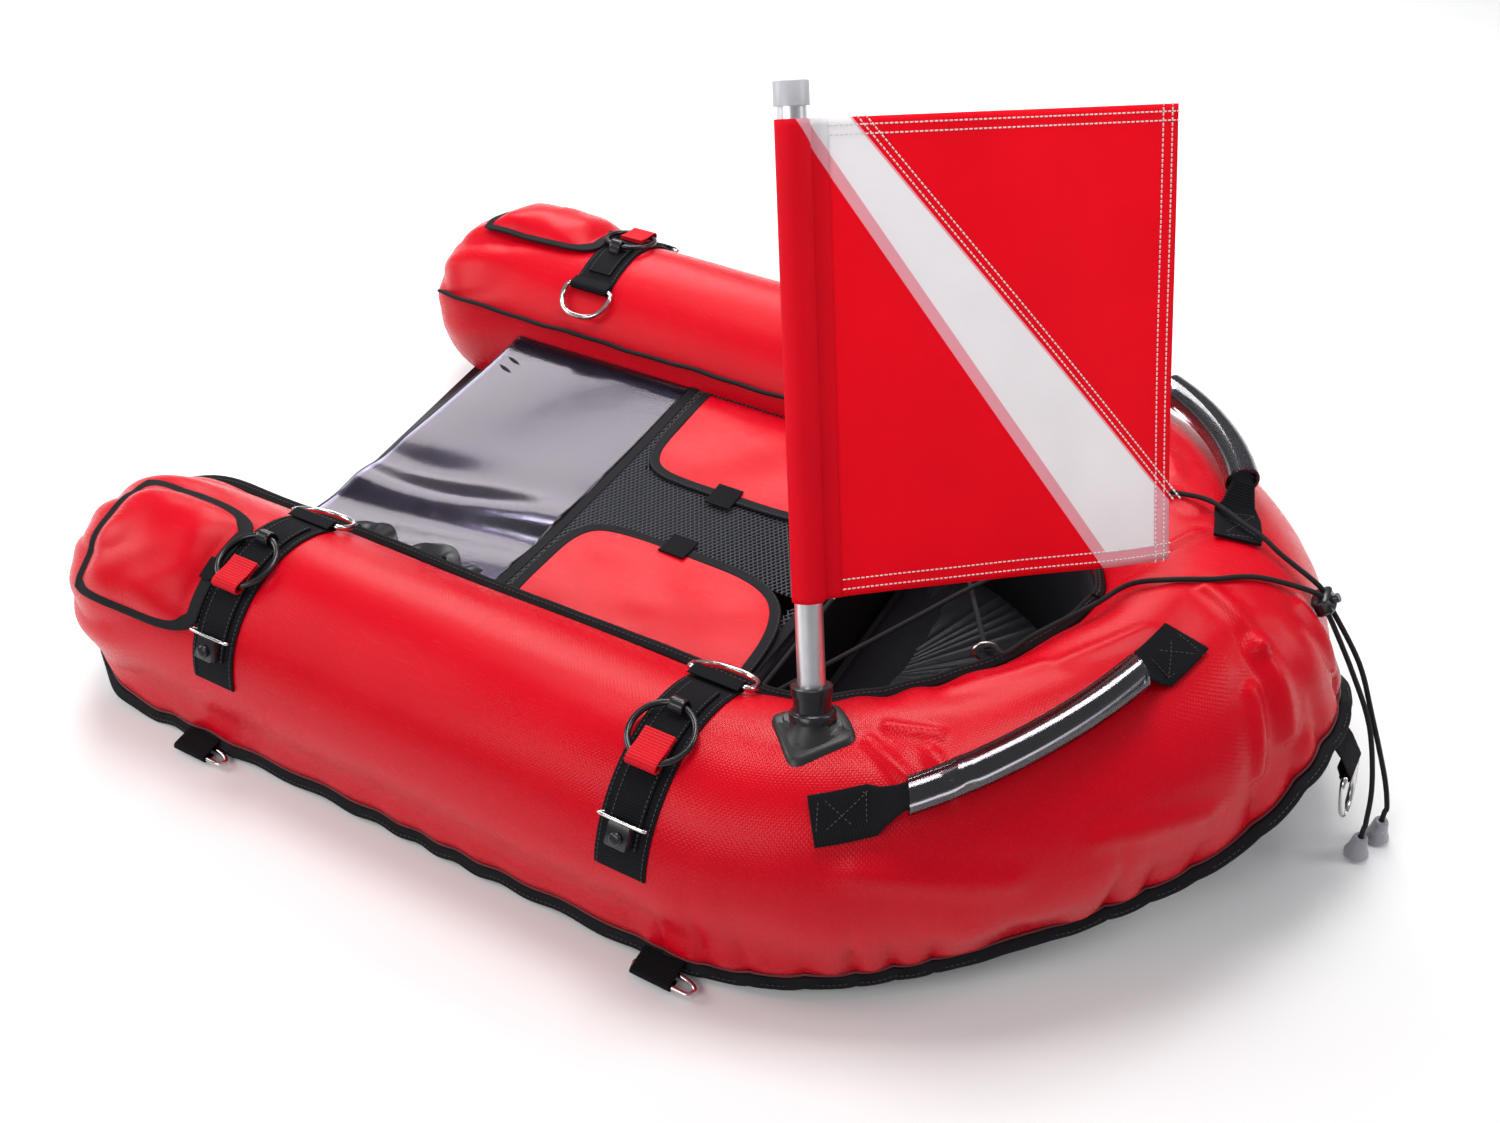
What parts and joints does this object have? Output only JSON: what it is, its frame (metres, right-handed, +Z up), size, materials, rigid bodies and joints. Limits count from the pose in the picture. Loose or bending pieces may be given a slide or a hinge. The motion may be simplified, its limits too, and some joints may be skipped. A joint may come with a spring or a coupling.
{
  "type": "spearfishing float",
  "caption": "Inflatable U-shaped spearfishing float in red PVC with a black hull, clear and mesh decks, laced well, gun straps, handles and a divers' flag on a mast.",
  "frame": {"origin": "middle of the float's box, on the surface that it stands on", "axes": "+X towards the bow, +Z up; the mast is on the -Y arm"},
  "size_m": [1.09, 0.7286, 0.5874],
  "materials": {
    "red_pvc": "PVC-coated cloth, satin",
    "clear_pvc": "clear flexible PVC sheet",
    "black_pvc": "black PVC-coated cloth",
    "black_webbing": "woven polyester webbing",
    "red_webbing": "ribbed woven webbing",
    "black_mesh": "open diamond mesh",
    "bladder_tpu": "plain film",
    "black_gloss": "moulded, gloss",
    "black_rubber": "moulded rubber",
    "steel": "polished stainless steel",
    "mast_tube": "satin",
    "flag_cloth": "woven nylon, red with a white diagonal",
    "smoky_hose": "clear smoky hose",
    "cord": "braided",
    "bell_plastic": "translucent grey"
  },
  "bodies": {
    "float": {"bladder_far": "bladder_tpu", "bladder_near": "bladder_tpu", "cord_bell_far": "bell_plastic", "cord_bell_near": "bell_plastic", "cord_lock": "black_gloss", "cord_tail_far": "cord", "cord_tail_near": "cord", "cover": "red_pvc", "deck_window": "clear_pvc", "gun_strap_far_bow": "black_webbing", "gun_strap_far_stern": "black_webbing", "gun_strap_near_bow": "black_webbing", "gun_strap_near_stern": "black_webbing", "handle_grip_far": "smoky_hose", "handle_grip_near": "smoky_hose", "handle_webbing_far": "black_webbing", "handle_webbing_near": "black_webbing", "hold_wall": "black_pvc", "hull_binding": "black_webbing", "hull_sheet": "black_pvc", "lacing_cord": "cord", "mast_base": "black_rubber", "mesh_panel": "black_mesh", "strap_patch_far_bow": "black_webbing", "strap_patch_far_stern": "black_webbing", "strap_patch_near_bow": "black_webbing", "strap_patch_near_stern": "black_webbing", "valve_far": "black_rubber", "valve_near": "black_rubber", "well_liner": "black_pvc", "welt_far": "black_webbing", "welt_near": "black_webbing"},
    "mast": {"mast": "mast_tube", "mast_cap": "bell_plastic"},
    "flag": {"flag": "flag_cloth"},
    "tow_ring": {"tow_ring": "steel"},
    "lock_button": {"lock_button": "black_gloss"},
    "lid_near": {"lid_near": "red_pvc"},
    "valve_cap_near": {"valve_cap_near": "black_rubber"},
    "valve_flap_near": {"valve_flap_near": "red_pvc"},
    "d_ring_near_stern": {"d_ring_near_stern": "steel"},
    "gun_ring_near_stern": {"gun_ring_near_stern": "black_gloss", "pull_tab_near_stern": "red_webbing"},
    "lash_ring_near_stern": {"lash_ring_near_stern": "steel"},
    "d_ring_near_bow": {"d_ring_near_bow": "steel"},
    "gun_ring_near_bow": {"gun_ring_near_bow": "black_gloss", "pull_tab_near_bow": "red_webbing"},
    "lash_ring_near_bow": {"lash_ring_near_bow": "steel"},
    "lid_far": {"lid_far": "red_pvc"},
    "valve_cap_far": {"valve_cap_far": "black_rubber"},
    "valve_flap_far": {"valve_flap_far": "red_pvc"},
    "d_ring_far_stern": {"d_ring_far_stern": "steel"},
    "gun_ring_far_stern": {"gun_ring_far_stern": "black_gloss", "pull_tab_far_stern": "red_webbing"},
    "lash_ring_far_stern": {"lash_ring_far_stern": "steel"},
    "d_ring_far_bow": {"d_ring_far_bow": "steel"},
    "gun_ring_far_bow": {"gun_ring_far_bow": "black_gloss", "pull_tab_far_bow": "red_webbing"},
    "lash_ring_far_bow": {"lash_ring_far_bow": "steel"}
  },
  "joints": [
    {"name": "mast_slide", "type": "slide", "parent": "float", "child": "mast", "axis": [-0.2311, 0.3852, 0.8934], "range_m": [0, 0.06]},
    {"name": "flag_swivel", "type": "hinge", "parent": "mast", "child": "flag", "pos_m": [0.12902, -0.12754, 0.42165], "axis": [-0.2311, 0.3852, 0.8934], "continuous": true},
    {"name": "lid_hinge_near", "type": "hinge", "parent": "float", "child": "lid_near", "pos_m": [-0.0305, -0.164, 0.1198], "axis": [1, 0, 0], "range_deg": [0, 75]},
    {"name": "valve_cap_turn_near", "type": "hinge", "parent": "float", "child": "valve_cap_near", "pos_m": [-0.3825, -0.29934, 0.18216], "axis": [0, -0.4226, 0.9063], "range_deg": [0, 350]},
    {"name": "valve_flap_hinge_near", "type": "hinge", "parent": "float", "child": "valve_flap_near", "pos_m": [-0.4575, -0.2956, 0.17414], "axis": [0, -0.9063, -0.4226], "range_deg": [0, 70]},
    {"name": "d_ring_hinge_near_stern", "type": "hinge", "parent": "float", "child": "d_ring_near_stern", "pos_m": [-0.3035, -0.20495, 0.17519], "axis": [1, 0, 0], "range_deg": [0, 115]},
    {"name": "gun_ring_hinge_near_stern", "type": "hinge", "parent": "float", "child": "gun_ring_near_stern", "pos_m": [-0.3035, -0.25868, 0.19599], "axis": [-1, 0, 0], "range_deg": [0, 90]},
    {"name": "lash_ring_slide_near_stern", "type": "slide", "parent": "float", "child": "lash_ring_near_stern", "axis": [1, 0, 0], "range_m": [-0.016, 0.004]},
    {"name": "d_ring_hinge_near_bow", "type": "hinge", "parent": "float", "child": "d_ring_near_bow", "pos_m": [0.0965, -0.20495, 0.17519], "axis": [1, 0, 0], "range_deg": [0, 115]},
    {"name": "gun_ring_hinge_near_bow", "type": "hinge", "parent": "float", "child": "gun_ring_near_bow", "pos_m": [0.0965, -0.25868, 0.19599], "axis": [-1, 0, 0], "range_deg": [0, 90]},
    {"name": "lash_ring_slide_near_bow", "type": "slide", "parent": "float", "child": "lash_ring_near_bow", "axis": [1, 0, 0], "range_m": [-0.016, 0.004]},
    {"name": "lid_hinge_far", "type": "hinge", "parent": "float", "child": "lid_far", "pos_m": [-0.0305, 0.164, 0.1198], "axis": [-1, 0, 0], "range_deg": [0, 75]},
    {"name": "valve_cap_turn_far", "type": "hinge", "parent": "float", "child": "valve_cap_far", "pos_m": [-0.3825, 0.29934, 0.18216], "axis": [0, 0.4226, 0.9063], "range_deg": [0, 350]},
    {"name": "valve_flap_hinge_far", "type": "hinge", "parent": "float", "child": "valve_flap_far", "pos_m": [-0.4575, 0.2956, 0.17414], "axis": [0, -0.9063, 0.4226], "range_deg": [0, 70]},
    {"name": "d_ring_hinge_far_stern", "type": "hinge", "parent": "float", "child": "d_ring_far_stern", "pos_m": [-0.3035, 0.20495, 0.17519], "axis": [-1, 0, 0], "range_deg": [0, 115]},
    {"name": "gun_ring_hinge_far_stern", "type": "hinge", "parent": "float", "child": "gun_ring_far_stern", "pos_m": [-0.3035, 0.25868, 0.19599], "axis": [1, 0, 0], "range_deg": [0, 90]},
    {"name": "lash_ring_slide_far_stern", "type": "slide", "parent": "float", "child": "lash_ring_far_stern", "axis": [1, 0, 0], "range_m": [-0.016, 0.004]},
    {"name": "d_ring_hinge_far_bow", "type": "hinge", "parent": "float", "child": "d_ring_far_bow", "pos_m": [0.0965, 0.20495, 0.17519], "axis": [-1, 0, 0], "range_deg": [0, 115]},
    {"name": "gun_ring_hinge_far_bow", "type": "hinge", "parent": "float", "child": "gun_ring_far_bow", "pos_m": [0.0965, 0.25868, 0.19599], "axis": [1, 0, 0], "range_deg": [0, 90]},
    {"name": "lash_ring_slide_far_bow", "type": "slide", "parent": "float", "child": "lash_ring_far_bow", "axis": [1, 0, 0], "range_m": [-0.016, 0.004]},
    {"name": "tow_ring_hinge", "type": "hinge", "parent": "float", "child": "tow_ring", "pos_m": [0.524, 0, 0.1], "axis": [0, -1, 0], "range_deg": [-50, 6]},
    {"name": "lock_button_slide", "type": "slide", "parent": "float", "child": "lock_button", "axis": [-0.7852, -0.1545, -0.5996], "range_m": [0, 0.003], "stiffness_N_per_m": 400, "springref_m": -0.002}
  ]
}
